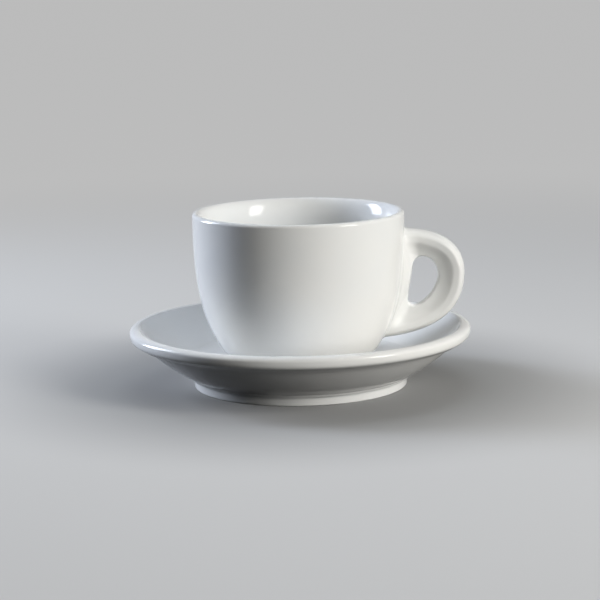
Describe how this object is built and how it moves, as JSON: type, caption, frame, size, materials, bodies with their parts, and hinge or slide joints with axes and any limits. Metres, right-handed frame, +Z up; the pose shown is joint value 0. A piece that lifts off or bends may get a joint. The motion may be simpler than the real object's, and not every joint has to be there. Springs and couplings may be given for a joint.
{
  "type": "cappuccino cup with saucer",
  "caption": "White porcelain cappuccino cup with a rounded bowl and a closed loop handle, standing in the shallow recess of a dished saucer with a rolled edge and a foot ring.",
  "frame": {"origin": "on the saucer's axis, in the plane of the underside of its foot ring", "axes": "+Z up along the axis of the saucer and the cup, +X along the cup's handle"},
  "size_m": [0.145, 0.145, 0.0744],
  "materials": {
    "saucer_glaze": "clear gloss glaze over white porcelain, foot ring wiped bare",
    "cup_glaze": "clear gloss glaze over white porcelain, foot ring wiped bare",
    "handle_glaze": "clear gloss glaze over white porcelain",
    "slip_biscuit": "matt fired slip under the glaze"
  },
  "bodies": {
    "saucer": {"saucer": "saucer_glaze"},
    "cup": {"cup_body": "cup_glaze", "cup_handle": "handle_glaze", "handle_slip": "slip_biscuit"}
  },
  "joints": [
    {"name": "cup_lift", "type": "slide", "parent": "saucer", "child": "cup", "axis": [0, 0, 1], "range_m": [0, 0.12]}
  ]
}
